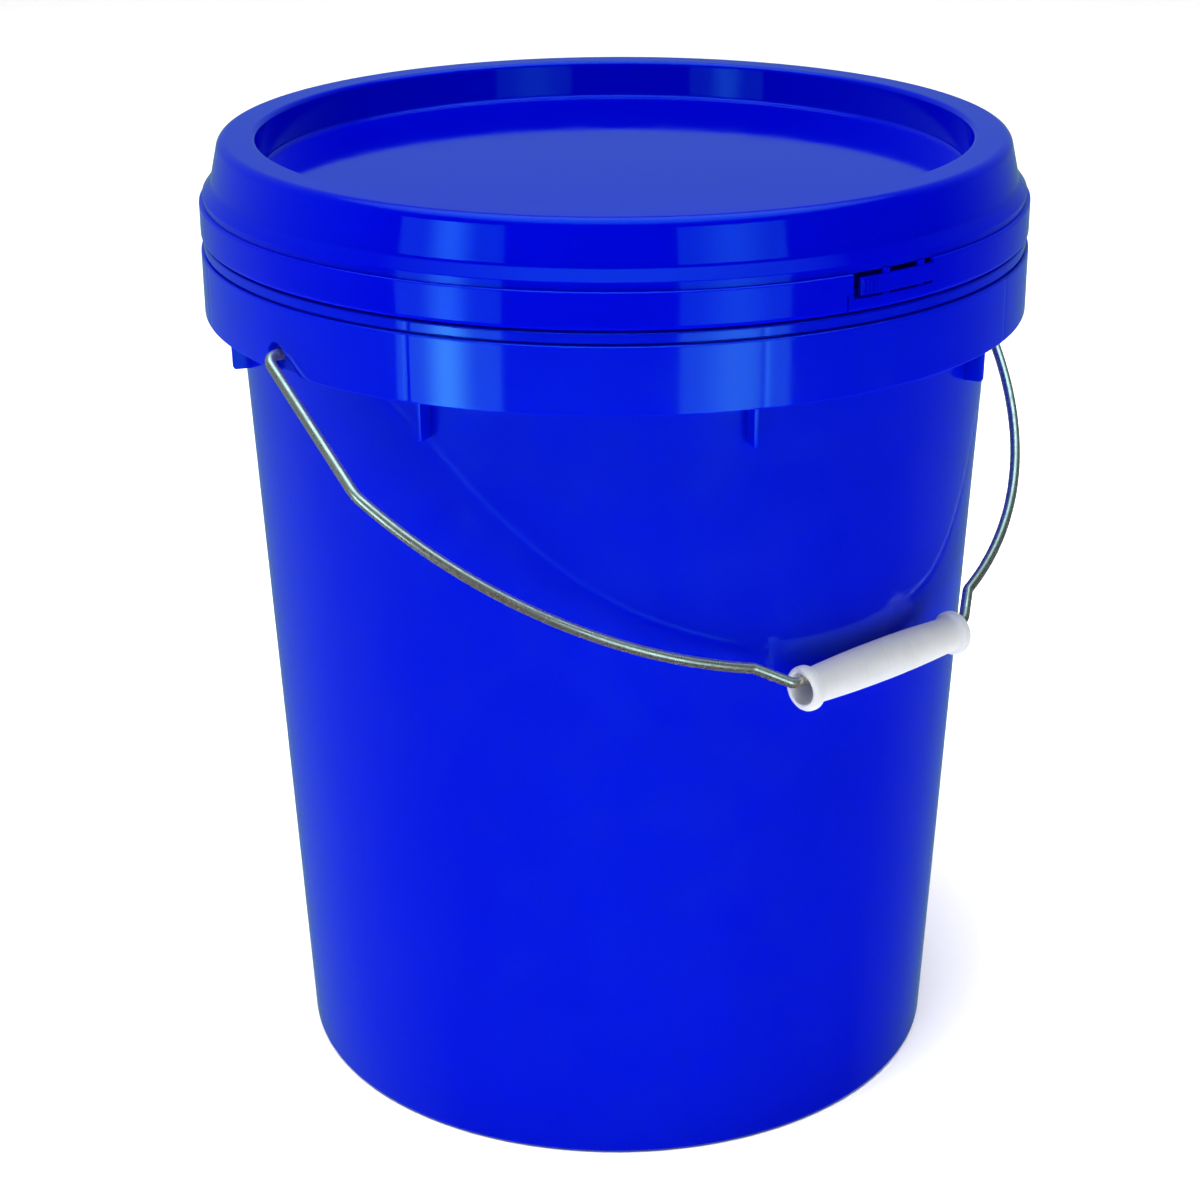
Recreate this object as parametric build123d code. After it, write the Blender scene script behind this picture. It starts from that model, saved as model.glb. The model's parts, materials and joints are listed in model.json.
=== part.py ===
from build123d import *

import os
from math import asin, cos, radians, sin, sqrt

# A lidded plastic pail for fermenting, in millimetres.
# The origin is the centre of the base on the floor, +Z is up, the bail's pivots
# lie on a line along X, and the bail hangs on the -Y side.

# Bucket wall: a cone with a foot ring under the floor
BASE_R = 129.6
BASE_ROUND = 2.0
WALL = 2.2
COLLAR_BOTTOM = 308.3
WALL_R_AT_COLLAR = 144.7
TAPER = (WALL_R_AT_COLLAR - BASE_R) / COLLAR_BOTTOM
FLOOR_UNDER = 4.0
FLOOR_TOP = 6.5
FOOT_INNER_R = 121.0
INNER_ROUND = 4.0
BUCKET_RIM = 368.4
NECK_R = 145.6

# Carrying collar: a flange with a skirt that hangs from it
COLLAR_R = 158.0
COLLAR_TOP = 332.4
COLLAR_WALL = 2.0
COLLAR_INNER_R = COLLAR_R - COLLAR_WALL

# Drip ring that stands on the collar, with a groove under its outer edge
RING_R = 157.0
RING_INNER_R = 154.2
RING_TOP = 336.8
RING_GROOVE_R = 155.8
RING_GROOVE_TOP = 333.1

# Locking flange, which the tear strip's hook sits under
LOCK_R = 153.4
LOCK_BOTTOM = 342.3
LOCK_TOP = 344.5

# Gussets between the wall and the collar
GUSSETS = 8
GUSSET_T = 2.0
GUSSET_R = 151.0
GUSSET_BOTTOM = 292.0

# Ears: bosses inside the collar that carry the bail
PIVOT_Z = 314.0
BOSS_INNER_X = 149.8
BOSS_HALF_W = 6.0
BOSS_BOTTOM = 308.8
WIRE_R = 2.0
PIVOT_CLEARANCE = 0.06
EAR_MOUTH_R = 4.2
EAR_FLOOR_X = 155.6
EAR_PAD_X = 153.8
EAR_SLOT_ANGLE = 42.0
EAR_SLOT_LENGTH = 26.0

# Lid: a dished plate with a hollow rim and a shoulder
LID_WALL = 2.0
RIM_TOP = 373.4
RIM_INNER_R = 135.4
RIM_OUTER_R = 149.6
RIM_ROUND = 4.0
DISH_R = 135.0
DISH_TOP = 358.4
WALL_FOOT = (153.1, 357.8)
LIP_R = 156.4
LIP_TOP = 353.6
LIP_INNER_R = 154.2
CREASE_Z = 350.8
CREASE_ROUND = 0.5

# Tear strip: the skirt of the lid, with the hook inside it
SKIRT_R = 157.8
SKIRT_WALL = 1.9
SKIRT_INNER_R = SKIRT_R - SKIRT_WALL
SKIRT_BOTTOM = 337.4
SKIRT_ROUND = 1.8
HOOK_R = 153.7
HOOK_BOTTOM = 338.6
HOOK_TOP = 341.9

# Pull tab, cut out of the skirt; angles are from -Y towards +X
POCKET_START = -10.5
TAB_START = -9.35
TAB_HINGE = 2.85
TAB_BOTTOM = 342.85
TAB_TOP = 349.1
HEM_TOP = 342.05
BRIDGE_ANGLES = (-5.3, 0.65)
BRIDGE_HALF_ANGLE = 0.5
SLIT_ANGLE = -11.3
SLIT_HALF_ANGLE = 0.13
SLIT_TOP = 343.3
PAD_RIBS = 5
PAD_FIRST_ANGLE = -9.0
PAD_PITCH_ANGLE = 0.56
PAD_RIB_HALF_ANGLE = 0.14
PAD_RIB_HEIGHT = 0.45
PAD_MARGIN = 0.7

# Gasket in the roof of the lid's rim
GASKET_INNER_R = 141.8
GASKET_OUTER_R = 146.2
GASKET_GAP = 0.3

# Bail: legs, bends, bowed sides and a jog down to the straight part in the grip.
# Distances across are from the middle, and reaches are from the pivot line.
BAIL_DROP = 36.9
LEG_X = 162.1
PIVOT_BEND_R = 4.2
SIDE_R = 180.4
SIDE_CENTRE = (-8.7, 5.1)
LEG_BEND_R = 15.0
SIDE_PART_X = 122.0
SIDE_END_X = 58.0
JOG_OUTER = 56.4
JOG_INNER = 44.8
JOG_R = 5.0
GRIP_REACH = 184.2
HEAD_R = 3.1
HEAD_T = 1.4
HEAD_X = BOSS_INNER_X - 0.4

# Grip: a hollow barrel with a bead at each end, hanging on the wire
GRIP_HALF = 41.0
GRIP_BORE_R = 5.7
GRIP_NECK_R = 6.5
GRIP_MIDDLE_R = 7.6
GRIP_BEAD_R = 8.4
GRIP_BEAD_W = 5.0
GRIP_HANG_GAP = 0.12


def wall_r(z):
    """Outer radius of the bucket's wall at a height."""
    return BASE_R + TAPER * z


def ring_solid(*corners):
    """Turn a closed section about Z; each corner is (radius, height, rounding)."""
    points = [(r, z) for r, z, _ in corners]
    rounds = [rounding for _, _, rounding in corners]
    with BuildPart() as part:
        with BuildSketch(Plane.XZ):
            with BuildLine():
                FilletPolyline(*points, radius=rounds, close=True)
            make_face()
        revolve(axis=Axis.Z)
    return part.part


def sector(r_in, r_out, z_low, z_high, start, end):
    """A piece of a ring between two angles measured from -Y towards +X."""
    middle = radians((start + end) / 2)
    points = []
    for radius, angles in ((r_in, (start, None, end)), (r_out, (end, None, start))):
        for angle in angles:
            turn = middle if angle is None else radians(angle)
            points.append((radius * sin(turn), -radius * cos(turn)))
    with BuildPart() as part:
        with BuildSketch(Plane.XY.offset(z_low)):
            with BuildLine():
                ThreePointArc(points[0], points[1], points[2])
                Line(points[2], points[3])
                ThreePointArc(points[3], points[4], points[5])
                Line(points[5], points[0])
            make_face()
        extrude(amount=z_high - z_low)
    return part.part


def block(x_low, x_high, y_low, y_high, z_low, z_high):
    """A box between two corners."""
    size = (x_high - x_low, y_high - y_low, z_high - z_low)
    middle = ((x_low + x_high) / 2, (y_low + y_high) / 2, (z_low + z_high) / 2)
    return Pos(*middle) * Box(*size)


def rod(radius, x_low, x_high, z):
    """A round rod along X."""
    length = x_high - x_low
    return Pos((x_low + x_high) / 2, 0, z) * Rot(0, 90, 0) * Cylinder(radius, length)


def gusset(angle):
    """One plate between the wall and the collar, at an angle from -Y."""
    inside = WALL / 2
    outside = COLLAR_INNER_R + 1
    flange_under = COLLAR_TOP - COLLAR_WALL
    with BuildPart() as part:
        with BuildSketch(Plane.XZ):
            with BuildLine():
                Polyline(
                    (wall_r(GUSSET_BOTTOM) - inside, GUSSET_BOTTOM),
                    (GUSSET_R, GUSSET_BOTTOM),
                    (GUSSET_R, COLLAR_BOTTOM + 1),
                    (outside, COLLAR_BOTTOM + 6),
                    (outside, flange_under),
                    (wall_r(flange_under) - inside, flange_under),
                    close=True,
                )
            make_face()
        extrude(amount=GUSSET_T / 2, both=True)
    return Rot(0, 0, angle - 90) * part.part


def ear_slot(x_low, x_high, half_width):
    """The slanted channel from the ear's hole down and forward to the collar's edge."""
    bar = Pos(0, -EAR_SLOT_LENGTH / 2, 0) * Box(
        x_high - x_low, EAR_SLOT_LENGTH, 2 * half_width
    )
    return Pos((x_low + x_high) / 2, 0, PIVOT_Z) * Rot(EAR_SLOT_ANGLE, 0, 0) * bar


def ear_boss(side):
    """The solid part of one ear, on the +X side when side is 1."""
    flange_under = COLLAR_TOP - COLLAR_WALL
    outside = COLLAR_INNER_R + 1
    boss = block(
        BOSS_INNER_X, outside, -BOSS_HALF_W, BOSS_HALF_W, BOSS_BOTTOM, flange_under
    )
    pad = ear_slot(EAR_PAD_X, outside, EAR_MOUTH_R + 1.5)
    keep = block(EAR_PAD_X, outside, -30, 0, COLLAR_BOTTOM, flange_under)
    boss += pad & keep
    return boss if side > 0 else mirror(boss, about=Plane.YZ)


def ear_cut(side):
    """What is cut out of one ear: the pivot hole, its mouth and the channel."""
    outside = COLLAR_R + 2
    cut = rod(WIRE_R + PIVOT_CLEARANCE, BOSS_INNER_X - 1, outside, PIVOT_Z)
    cut += rod(EAR_MOUTH_R, EAR_FLOOR_X, outside, PIVOT_Z)
    cut += ear_slot(EAR_FLOOR_X, outside, EAR_MOUTH_R)
    return cut if side > 0 else mirror(cut, about=Plane.YZ)


def bucket_wall():
    return ring_solid(
        (0, FLOOR_UNDER, 0),
        (FOOT_INNER_R, FLOOR_UNDER, 1.0),
        (FOOT_INNER_R + 1.0, 0, 0.5),
        (BASE_R, 0, BASE_ROUND),
        (wall_r(LOCK_TOP), LOCK_TOP, 0),
        (NECK_R, BUCKET_RIM, 0.9),
        (NECK_R - WALL, BUCKET_RIM, 0.9),
        (wall_r(LOCK_TOP) - WALL, LOCK_TOP, 20.0),
        (wall_r(FLOOR_TOP) - WALL, FLOOR_TOP, INNER_ROUND),
        (0, FLOOR_TOP, 0),
    )


def inside_collar(solid):
    """What of a solid lies between the wall and the collar's skirt."""
    height = COLLAR_TOP + 5
    wall = ring_solid(
        (0, 0, 0), (BASE_R, 0, 0), (wall_r(height), height, 0), (0, height, 0)
    )
    return (solid & Pos(0, 0, height / 2) * Cylinder(COLLAR_INNER_R, height)) - wall


def collar_flange():
    """The collar's flat top, with the drip ring on it."""
    flange_under = COLLAR_TOP - COLLAR_WALL
    return ring_solid(
        (wall_r(flange_under), flange_under, 0),
        (COLLAR_INNER_R, flange_under, 0),
        (COLLAR_INNER_R, RING_GROOVE_TOP, 0),
        (RING_R, RING_GROOVE_TOP, 0.2),
        (RING_R, RING_TOP, 1.0),
        (RING_INNER_R, RING_TOP, 0.5),
        (RING_INNER_R, COLLAR_TOP, 0.4),
        (wall_r(COLLAR_TOP), COLLAR_TOP, 0),
    )


def collar_skirt():
    skirt = ring_solid(
        (COLLAR_INNER_R, COLLAR_BOTTOM, 0),
        (COLLAR_R, COLLAR_BOTTOM, 0),
        (COLLAR_R, COLLAR_TOP, 0.8),
        (COLLAR_INNER_R, COLLAR_TOP, 0),
    )
    for side in (1, -1):
        skirt -= ear_cut(side)
    return skirt


def collar_gussets():
    step = 360 / GUSSETS
    plates = [inside_collar(gusset((n + 0.5) * step)) for n in range(GUSSETS)]
    return Compound(children=[plate.solids()[0] for plate in plates])


def pivot_ears():
    ears = [inside_collar(ear_boss(side)) - ear_cut(side) for side in (1, -1)]
    return Compound(children=[ear.solids()[0] for ear in ears])


def lock_flange():
    return ring_solid(
        (wall_r(LOCK_BOTTOM), LOCK_BOTTOM, 0),
        (LOCK_R, LOCK_BOTTOM, 0.4),
        (LOCK_R, LOCK_TOP, 1.0),
        (wall_r(LOCK_TOP), LOCK_TOP, 0),
    )


def lid_panel():
    """The lid's flat dished floor."""
    under = DISH_TOP - LID_WALL
    edge = DISH_R + LID_WALL
    return ring_solid((0, under, 0), (edge, under, 1.2), (edge, DISH_TOP, 0), (0, DISH_TOP, 0))


def lid_rim():
    """The lid's hollow rim, from the floor's edge out to the lip."""
    foot_r, foot_z = WALL_FOOT
    rim_under = RIM_TOP - LID_WALL
    rim = ring_solid(
        (DISH_R, DISH_TOP, 0),
        (DISH_R + LID_WALL, DISH_TOP, 0),
        (RIM_INNER_R + LID_WALL, rim_under, 1.0),
        (RIM_OUTER_R - LID_WALL, rim_under, 1.2),
        (foot_r - LID_WALL, foot_z - 1.2, 0),
        (LIP_INNER_R, LIP_TOP - 1.2, 0),
        (LIP_INNER_R, CREASE_Z, 0),
        (LIP_R, CREASE_Z, 0),
        (LIP_R, LIP_TOP, 0.7),
        (foot_r, foot_z, 3.0),
        (RIM_OUTER_R, RIM_TOP, RIM_ROUND),
        (RIM_INNER_R, RIM_TOP, 2.0),
    )
    for angle in BRIDGE_ANGLES:
        rim += sector(
            SKIRT_INNER_R + 0.2,
            SKIRT_R - 0.2,
            TAB_TOP + 0.05,
            CREASE_Z + 0.2,
            angle - BRIDGE_HALF_ANGLE,
            angle + BRIDGE_HALF_ANGLE,
        )
    return rim


def lid_gasket():
    bottom = BUCKET_RIM + GASKET_GAP
    top = RIM_TOP - LID_WALL
    return ring_solid(
        (GASKET_INNER_R, bottom, 0.8),
        (GASKET_OUTER_R, bottom, 0.8),
        (GASKET_OUTER_R, top, 0),
        (GASKET_INNER_R, top, 0),
    )


def tear_strip():
    strip = ring_solid(
        (HOOK_R, HOOK_BOTTOM, 0.5),
        (HOOK_R + 1.2, SKIRT_BOTTOM, 0.5),
        (SKIRT_R, SKIRT_BOTTOM, SKIRT_ROUND),
        (SKIRT_R, CREASE_Z, CREASE_ROUND),
        (SKIRT_INNER_R, CREASE_Z, 0),
        (SKIRT_INNER_R, HOOK_TOP + 0.9, 0),
        (HOOK_R, HOOK_TOP, 0.5),
    )
    strip -= sector(
        SKIRT_INNER_R - 0.5, SKIRT_R + 1, HEM_TOP, CREASE_Z + 1, POCKET_START, TAB_HINGE
    )
    strip -= sector(
        HOOK_R - 1,
        SKIRT_R + 1,
        SKIRT_BOTTOM - 1,
        SLIT_TOP,
        SLIT_ANGLE - SLIT_HALF_ANGLE,
        SLIT_ANGLE + SLIT_HALF_ANGLE,
    )
    for angle in BRIDGE_ANGLES:
        strip += sector(
            SKIRT_INNER_R + 0.2,
            SKIRT_R - 0.2,
            HEM_TOP - 0.3,
            TAB_BOTTOM - 0.05,
            angle - BRIDGE_HALF_ANGLE,
            angle + BRIDGE_HALF_ANGLE,
        )
    return strip


def pull_tab():
    tab = sector(SKIRT_INNER_R, SKIRT_R, TAB_BOTTOM, TAB_TOP, TAB_START, TAB_HINGE)
    for number in range(PAD_RIBS):
        angle = PAD_FIRST_ANGLE + number * PAD_PITCH_ANGLE
        tab += sector(
            SKIRT_R - 0.3,
            SKIRT_R + PAD_RIB_HEIGHT,
            TAB_BOTTOM + PAD_MARGIN,
            TAB_TOP - PAD_MARGIN,
            angle - PAD_RIB_HALF_ANGLE,
            angle + PAD_RIB_HALF_ANGLE,
        )
    return tab


def side_point(across):
    """A point of the bail's bowed side, by its distance from the middle."""
    centre_x, centre_u = SIDE_CENTRE
    return across, centre_u + sqrt(SIDE_R**2 - (across - centre_x) ** 2)


def side_arc(start, end):
    """The bowed side's centre line between two distances from the middle."""
    return ThreePointArc(side_point(start), side_point((start + end) / 2), side_point(end))


def leg_lines():
    """Centre line of the headed end, the leg and the upper part of the side."""
    centre_x, centre_u = SIDE_CENTRE
    bend_x = LEG_X - LEG_BEND_R
    bend_u = centre_u + sqrt((SIDE_R - LEG_BEND_R) ** 2 - (bend_x - centre_x) ** 2)
    bend_turn = asin((bend_u - centre_u) / (SIDE_R - LEG_BEND_R))
    half_turn = bend_turn / 2
    bend_middle = (
        bend_x + LEG_BEND_R * cos(half_turn),
        bend_u + LEG_BEND_R * sin(half_turn),
    )
    side_start = side_point(centre_x + SIDE_R * cos(bend_turn))
    return [
        FilletPolyline(
            (HEAD_X, 0), (LEG_X, 0), (LEG_X, bend_u), radius=[PIVOT_BEND_R]
        ),
        ThreePointArc((LEG_X, bend_u), bend_middle, side_start),
        side_arc(side_start[0], SIDE_PART_X),
    ]


def bar_lines():
    """Centre line of half of the straight middle, with the jog that leads down to it."""
    centre_x, centre_u = SIDE_CENTRE
    side_end = side_point(SIDE_END_X)
    slope = (SIDE_END_X - centre_x) / (side_end[1] - centre_u)
    jog_start = (JOG_OUTER, side_end[1] + slope * (SIDE_END_X - JOG_OUTER))
    return [
        FilletPolyline(
            side_end,
            jog_start,
            (JOG_INNER, GRIP_REACH),
            (0, GRIP_REACH),
            radius=[JOG_R, JOG_R],
        )
    ]


def wire_along(lines):
    """Wire along centre lines drawn as (across, reach) in the bail's plane at rest."""
    drop = radians(BAIL_DROP)
    plane = Plane(
        origin=(0, 0, PIVOT_Z), x_dir=(1, 0, 0), z_dir=(0, sin(drop), -cos(drop))
    )
    edges = [edge for line in lines for edge in line.edges()]
    route = Wire([plane.from_local_coords(edge) for edge in edges])
    start = Plane(origin=route @ 0, z_dir=route % 0)
    print("wire length", round(route.length, 1))
    return sweep(start * Circle(WIRE_R), path=route)


def bail_leg():
    return wire_along(leg_lines()) + rod(HEAD_R, HEAD_X - HEAD_T, HEAD_X, PIVOT_Z)


def bail_side():
    return wire_along([side_arc(SIDE_PART_X, SIDE_END_X)])


def bail_bar():
    half = wire_along(bar_lines())
    return half + mirror(half, about=Plane.YZ)


def roll_grip():
    neck_x = GRIP_HALF - GRIP_BEAD_W
    with BuildPart() as part:
        with BuildSketch(Plane.XZ):
            with BuildLine():
                Polyline(
                    (neck_x, GRIP_NECK_R),
                    (neck_x + 0.6, GRIP_BEAD_R - 0.8),
                    (neck_x + 1.8, GRIP_BEAD_R),
                    (GRIP_HALF - 1.2, GRIP_BEAD_R),
                    (GRIP_HALF, GRIP_BEAD_R - 1.2),
                    (GRIP_HALF, GRIP_BORE_R + 0.4),
                    (GRIP_HALF - 0.4, GRIP_BORE_R),
                    (0.4 - GRIP_HALF, GRIP_BORE_R),
                    (-GRIP_HALF, GRIP_BORE_R + 0.4),
                    (-GRIP_HALF, GRIP_BEAD_R - 1.2),
                    (1.2 - GRIP_HALF, GRIP_BEAD_R),
                    (-neck_x - 1.8, GRIP_BEAD_R),
                    (-neck_x - 0.6, GRIP_BEAD_R - 0.8),
                    (-neck_x, GRIP_NECK_R),
                )
                ThreePointArc((-neck_x, GRIP_NECK_R), (0, GRIP_MIDDLE_R), (neck_x, GRIP_NECK_R))
            make_face()
        revolve(axis=Axis.X)
    drop = radians(BAIL_DROP)
    hang = GRIP_BORE_R - WIRE_R - GRIP_HANG_GAP
    grip_y = -GRIP_REACH * cos(drop)
    grip_z = PIVOT_Z - GRIP_REACH * sin(drop) - hang
    gap = -grip_y - GRIP_MIDDLE_R - wall_r(grip_z)
    print("grip centre", round(grip_y, 3), round(grip_z, 3), "gap to wall", round(gap, 3))
    return Pos(0, grip_y, grip_z) * part.part


def main():
    os.makedirs("parts", exist_ok=True)
    nodes = {
        "bucket_wall": bucket_wall,
        "collar_flange": collar_flange,
        "collar_skirt": collar_skirt,
        "collar_gussets": collar_gussets,
        "pivot_ears": pivot_ears,
        "lock_flange": lock_flange,
        "lid_panel": lid_panel,
        "lid_rim": lid_rim,
        "lid_gasket": lid_gasket,
        "tear_strip": tear_strip,
        "pull_tab": pull_tab,
        "bail_leg_right": bail_leg,
        "bail_leg_left": lambda: mirror(bail_leg(), about=Plane.YZ),
        "bail_side_right": bail_side,
        "bail_side_left": lambda: mirror(bail_side(), about=Plane.YZ),
        "bail_bar": bail_bar,
        "roll_grip": roll_grip,
    }
    for name, make in nodes.items():
        export_step(make(), f"parts/{name}.step")


main()
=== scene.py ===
import json
from math import asin, atan2, ceil, cos, exp, hypot, pi, radians, sin, sqrt, tan

import bmesh
import bpy
from mathutils import Matrix, Vector


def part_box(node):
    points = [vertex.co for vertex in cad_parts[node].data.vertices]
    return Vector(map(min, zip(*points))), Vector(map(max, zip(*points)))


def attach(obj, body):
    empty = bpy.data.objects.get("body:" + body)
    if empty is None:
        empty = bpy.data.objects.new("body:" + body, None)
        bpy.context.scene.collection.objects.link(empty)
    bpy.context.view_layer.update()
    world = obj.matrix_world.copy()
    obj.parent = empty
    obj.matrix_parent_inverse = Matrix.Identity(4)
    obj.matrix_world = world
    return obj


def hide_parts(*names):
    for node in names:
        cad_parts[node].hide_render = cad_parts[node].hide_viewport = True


# A blue lidded pail on a pale floor. Profiles and angles below are in millimetres and
# degrees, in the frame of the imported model; angles run from -Y towards +X.

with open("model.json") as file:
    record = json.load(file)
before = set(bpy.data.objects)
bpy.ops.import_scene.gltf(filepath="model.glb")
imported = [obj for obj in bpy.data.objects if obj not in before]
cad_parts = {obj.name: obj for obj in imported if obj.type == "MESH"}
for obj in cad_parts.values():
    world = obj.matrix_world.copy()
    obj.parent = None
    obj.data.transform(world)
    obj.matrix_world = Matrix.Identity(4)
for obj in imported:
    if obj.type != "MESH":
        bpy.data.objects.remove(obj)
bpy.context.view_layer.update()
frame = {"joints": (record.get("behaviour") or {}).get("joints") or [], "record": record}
MM = 0.001

# ---------------------------------------------------------------- sizes from the frame


def reach(node):
    """Largest radius of a round node about Z, in millimetres."""
    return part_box(node)[1].x / MM


def heights(node):
    """Lowest and highest point of a node, in millimetres."""
    low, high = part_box(node)
    return low.z / MM, high.z / MM


JOINTS = {joint["name"]: joint for joint in frame["joints"]}
PIVOT_Z = JOINTS["bail_swing"]["pos_m"][2] / MM
GRIP_CENTRE = Vector(JOINTS["grip_spin"]["pos_m"])
COLLAR_R = reach("collar_skirt")
SKIRT_R = reach("tear_strip")
BUCKET_RIM = heights("bucket_wall")[1]
LID_TOP = heights("lid_rim")[1]
SKIRT_BOTTOM = heights("tear_strip")[0]
TAB_BOTTOM, TAB_TOP = heights("pull_tab")
GASKET_BOTTOM, GASKET_TOP = heights("lid_gasket")
GRIP_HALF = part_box("roll_grip")[1].x / MM
GRIP_BEAD_R = (heights("roll_grip")[1] - heights("roll_grip")[0]) / 2
WIRE_R = 2.0
LEG_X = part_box("bail_leg_right")[1].x / MM - WIRE_R

# ---------------------------------------------------------------- other sizes

# The bucket: its wall, floor, collar, drip ring, locking flange, gussets and ears.
BASE_R = 129.6
FOOT_R = 122.2
WALL = 2.2
WALL_R_AT_COLLAR = 144.7
FLOOR_UNDER = 4.5
FLOOR_TOP = 6.5
COLLAR_BOTTOM = 308.3
COLLAR_TOP = 332.4
COLLAR_WALL = 2.0
RING_GAP_R = 155.8
RING_R = 157.0
RING_BOTTOM = 333.1
RING_TOP = 336.8
RING_INNER_R = 154.2
LOCK_R = 153.4
LOCK_BOTTOM = 342.3
LOCK_TOP = 344.5
NECK_R = 145.6
GUSSETS = 8
GUSSET_R = 151.0
GUSSET_BOTTOM = 292.0
SINK_DEPTH = 0.10
SINK_HALF_WIDTH = 1.1
EAR_SLOT_DEPTH = 2.4
EAR_SLOT_HALF_WIDTH = 4.2
EAR_SLOT_ANGLE = 42.0
EAR_SLOT_LENGTH = 26.0
EAR_SLOT_EDGE = 0.45
HOLE_R = 2.06
MOUTH_R = 3.1
MOUTH_EDGE = 0.7
MOUTH_DEPTH = 0.5
BOSS_R = 149.8
BOSS_WIDTH = 12.0
BOSS_HEIGHT = 22.5
BOSS_MIDDLE = 320.05

# The lid: its dish, rim and shoulder, and the skirt with the tab cut out of it.
DISH_UNDER = 356.4
DISH_TOP = 358.4
RIM_ROOF = 371.4
CREASE_Z = 350.8
SHOULDER_R = 156.4
SHOULDER_INNER_R = 154.2
GASKET_RADII = (141.8, 146.2)
HOOK_R = 153.7
SKIRT_INNER_R = 155.9
HEM_TOP = 342.05
POCKET_ANGLES = (-10.5, 2.85)
POCKET_FLOOR_R = 155.4
CUTTER_R = 159.0
SLIT_ANGLE = -11.3
SLIT_HALF_ANGLE = 0.13
SLIT_R = 152.7
SLIT_TOP = 343.3
BRIDGE_ANGLES = (-5.3, 0.65)
BRIDGE_HALF_ANGLE = 0.5
BRIDGE_R = 156.1
BRIDGE_GAP = 0.05
TAB_START = -9.35
TAB_ROOT_OVERLAP = 0.35
RIBS = 5
RIB_START = -9.0
RIB_STEP = 0.56
RIB_HALF_ANGLE = 0.15

# The bail, as (across, reach) from the middle of the pivots' line: a bend at the leg's foot,
# a long arc, a jog, and the bar inside the grip.
BAIL_DROP = 36.9
HEAD_R = 3.1
HEAD_INNER_X = 148.0
HEAD_OUTER_X = 149.4
ELBOW_R = 4.2
BEND_R = 15.0
ARC_R = 180.4
ARC_X = -8.7
ARC_REACH = 5.1
ARC_END_X = 58.0
JOG_OUTER_X = 56.4
JOG_INNER_X = 44.8
JOG_BEND_R = 5.0
BAR_START_X = 42.0

# The grip: a barrel with a bead at each end, and faint parting rings round it.
GRIP_BORE_R = 5.7
GRIP_NECK_R = 6.5
GRIP_MIDDLE_R = 7.6
GRIP_BEAD_W = 5.0
PARTING_RINGS = (-14.0, -3.0, 10.0)
PARTING_DEPTH = 0.10
PARTING_HALF_WIDTH = 0.45


def wall_r(z):
    """Outer radius of the bucket's wall at a height."""
    return BASE_R + (WALL_R_AT_COLLAR - BASE_R) / COLLAR_BOTTOM * z


# ---------------------------------------------------------------- mesh helpers


def corner_arc(before, corner, after, radius, step):
    """Points of the arc that rounds one corner of a path."""
    here = Vector(corner)
    back = (Vector(before) - here).normalized()
    ahead = (Vector(after) - here).normalized()
    half = back.angle(ahead) / 2
    centre = here + (back + ahead).normalized() * radius / sin(half)
    first = here + back * radius / tan(half) - centre
    last = here + ahead * radius / tan(half) - centre
    turn = (pi - 2 * half) * (1 if first.cross(last) > 0 else -1)
    count = max(2, ceil(abs(turn) / radians(step)))
    points = []
    for k in range(count + 1):
        c, s = cos(turn * k / count), sin(turn * k / count)
        points.append(centre + Vector((first.x * c - first.y * s, first.x * s + first.y * c)))
    return points


def rounded(corners, arc=15.0):
    """Points round a closed section; each corner is (radius, height, rounding)."""
    points = []
    for index, (r, z, rounding) in enumerate(corners):
        if rounding == 0:
            points.append(Vector((r, z)))
            continue
        before = corners[index - 1][:2]
        after = corners[(index + 1) % len(corners)][:2]
        points += corner_arc(before, (r, z), after, rounding, arc)
    return points


def divided(points, step, low, high):
    """The same section with its outer edges cut to a step, between two heights."""
    cut = []
    for index, point in enumerate(points):
        cut.append(point)
        after = points[(index + 1) % len(points)]
        middle = (point + after) / 2
        length = (after - point).length
        if low <= middle.y <= high and length > step:
            count = ceil(length / step)
            cut += [point.lerp(after, k / count) for k in range(1, count)]
    return cut


def turn_angles(fine=()):
    """Angles round the axis: one each degree, and closer together near some angles.
    Each fine entry is (middle, half range, step)."""
    closest = 0.04
    angles = {round(float(a), 4) for a in range(-180, 180)}
    for middle, half, step in fine:
        count = int(round(half / step))
        for k in range(-count, count + 1):
            angle = (middle + k * step + 180) % 360 - 180
            angles.add(round(angle, 4))
    ordered = sorted(angles)
    kept = [ordered[0]]
    for angle in ordered[1:]:
        if angle - kept[-1] > closest:
            kept.append(angle)
    return kept


def object_from(bm, name):
    """Turn a bmesh into a new object of the scene."""
    mesh = bpy.data.meshes.new(name)
    bm.to_mesh(mesh)
    bm.free()
    obj = bpy.data.objects.new(name, mesh)
    bpy.context.scene.collection.objects.link(obj)
    return obj


def skin(bm, rows):
    """Faces between neighbouring rows of vertices. A row of one vertex is a pole."""
    for row, after in zip(rows, rows[1:]):
        count = max(len(row), len(after))
        if count == 1:
            continue
        for k in range(count):
            n = (k + 1) % count
            if len(row) == 1:
                bm.faces.new((row[0], after[n], after[k]))
            elif len(after) == 1:
                bm.faces.new((row[k], row[n], after[0]))
            else:
                bm.faces.new((row[k], row[n], after[n], after[k]))


def capped(bm, rows):
    """A solid through rows of vertices, closed by a flat face at each end."""
    skin(bm, rows)
    bm.faces.new(rows[0][::-1])
    bm.faces.new(rows[-1])
    bmesh.ops.recalc_face_normals(bm, faces=bm.faces)


def about_z(r, z, angle):
    """A place in metres from a radius, a height and an angle round the axis."""
    turn = radians(angle)
    return (r * sin(turn) * MM, -r * cos(turn) * MM, z * MM)


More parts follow.
